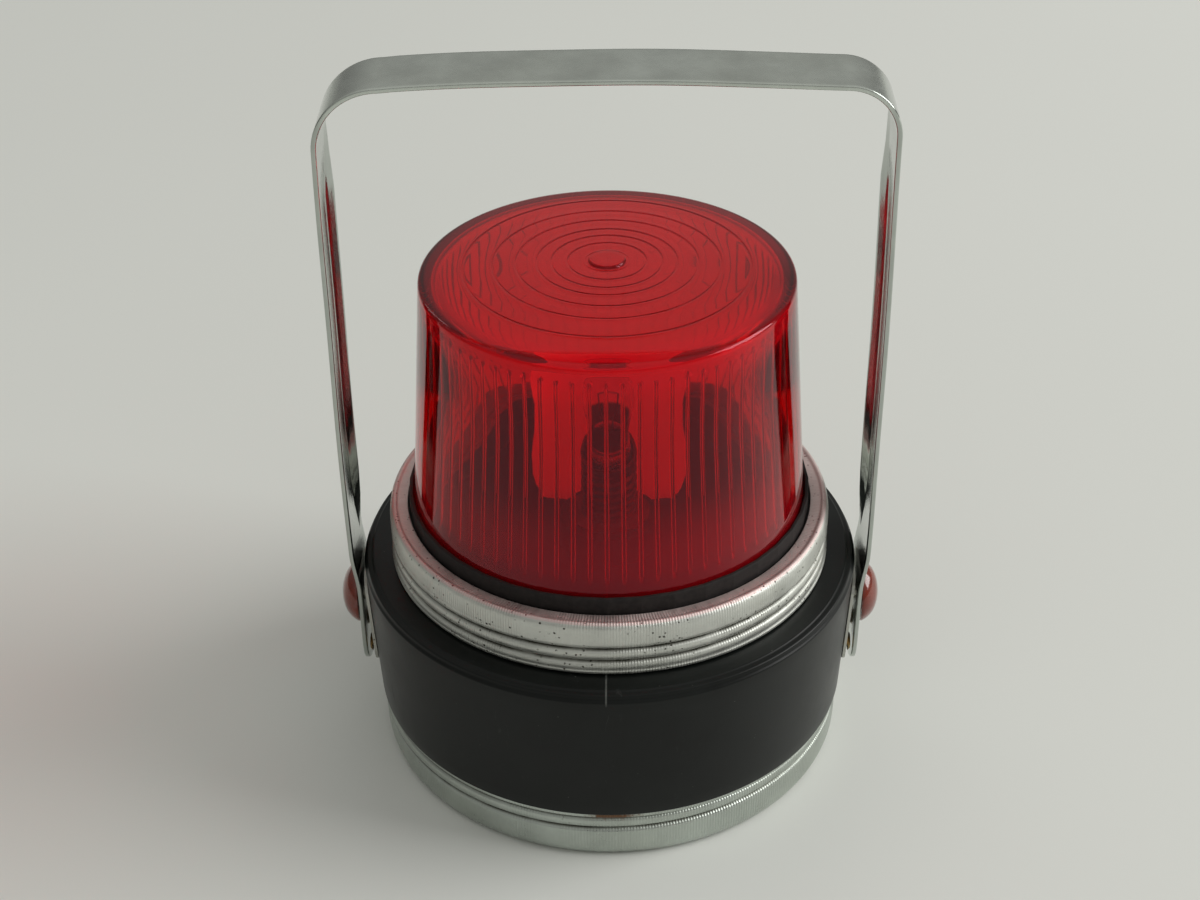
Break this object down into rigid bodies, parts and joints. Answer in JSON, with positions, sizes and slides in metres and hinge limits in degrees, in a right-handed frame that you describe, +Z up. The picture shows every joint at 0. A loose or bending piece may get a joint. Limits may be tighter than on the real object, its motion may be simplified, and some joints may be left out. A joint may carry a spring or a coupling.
{
  "type": "portable signal lantern",
  "caption": "Red signal lantern: drum housing with screw base cap, ribbed lens under a clamp ring, bulb, flat battery and a swinging strip bail.",
  "frame": {"origin": "centre of the flat resting face under the base cap", "axes": "+Z up through the lens, the bail's pivot axis along X, -Y towards the viewer"},
  "size_m": [0.1168, 0.1048, 0.1539],
  "materials": {
    "black_plastic": "satin moulded, finely scuffed",
    "zinc_plate": "dull zinc-plated sheet steel, slightly pitted",
    "white_enamel": "smooth white enamel on sheet",
    "red_lens": "transparent red, smooth outside, prism ribs inside",
    "orange_plastic": "translucent orange-red, glossy",
    "rubber": "dull",
    "brass": "satin",
    "nickel": "nickel-plated",
    "glass": "clear",
    "tungsten": "dark wire",
    "fibre": "pressed fibre board",
    "foam": "closed-cell foam",
    "battery_card": "printed card jacket, no lettering"
  },
  "bodies": {
    "lamp_body": {"housing": "black_plastic", "rear_reflector": "white_enamel", "socket_shell": "brass", "socket_insulator": "fibre", "contact_leaf_centre": "brass", "contact_leaf_shell": "brass", "hinge_bracket_left": "zinc_plate", "pivot_screw_left": "nickel", "pivot_washer_left": "nickel", "pivot_nut_left": "nickel", "bracket_rivet_left_front": "brass", "bracket_rivet_left_rear": "brass", "hinge_bracket_right": "zinc_plate", "pivot_screw_right": "nickel", "pivot_washer_right": "nickel", "pivot_nut_right": "nickel", "bracket_rivet_right_front": "brass", "bracket_rivet_right_rear": "brass"},
    "bail": {"bail_handle": "zinc_plate", "pivot_dome_left": "orange_plastic", "pivot_dome_right": "orange_plastic"},
    "lens_unit": {"signal_lens": "red_lens", "lens_gasket": "rubber"},
    "clamp_ring": {"lens_clamp_ring": "zinc_plate"},
    "plunger": {"centre_contact": "brass"},
    "bulb": {"bulb_base": "nickel", "bulb_glass": "glass", "bulb_filament": "tungsten"},
    "battery_stack": {"battery_case": "battery_card", "battery_strip_short": "brass", "battery_strip_long": "brass", "battery_spacer_left": "foam", "battery_spacer_right": "foam", "cap_liner": "fibre"},
    "base": {"base_cap": "zinc_plate"}
  },
  "joints": [
    {"name": "bail_swing", "type": "hinge", "parent": "lamp_body", "child": "bail", "pos_m": [0, 0, 0.0305], "axis": [1, 0, 0], "range_deg": [-102, 98]},
    {"name": "lens_lift", "type": "slide", "parent": "lamp_body", "child": "lens_unit", "axis": [0, 0, 1], "range_m": [0, 0.0066]},
    {"name": "ring_turn", "type": "hinge", "parent": "lens_unit", "child": "clamp_ring", "pos_m": [0, 0, 0.05], "axis": [0, 0, 1], "range_deg": [0, 810]},
    {"name": "battery_drop", "type": "slide", "parent": "lamp_body", "child": "battery_stack", "axis": [0, 0, -1], "range_m": [0, 0.0081]},
    {"name": "cap_turn", "type": "hinge", "parent": "battery_stack", "child": "base", "pos_m": [0, 0, 0.006], "axis": [0, 0, -1], "range_deg": [0, 990]},
    {"name": "plunger_rise", "type": "slide", "parent": "lamp_body", "child": "plunger", "axis": [0, 0, 1], "range_m": [0, 0.0018]},
    {"name": "bulb_turn", "type": "hinge", "parent": "plunger", "child": "bulb", "pos_m": [0, 0, 0.063], "axis": [0, 0, 1], "range_deg": [0, 372]}
  ],
  "couplings": [
    {"joint": "lens_lift", "follows": "ring_turn", "m_per_rad": 0.00046155},
    {"joint": "battery_drop", "follows": "cap_turn", "m_per_rad": 0.00046155},
    {"joint": "bulb_turn", "follows": "plunger_rise", "rad_per_m": 3490.7}
  ]
}
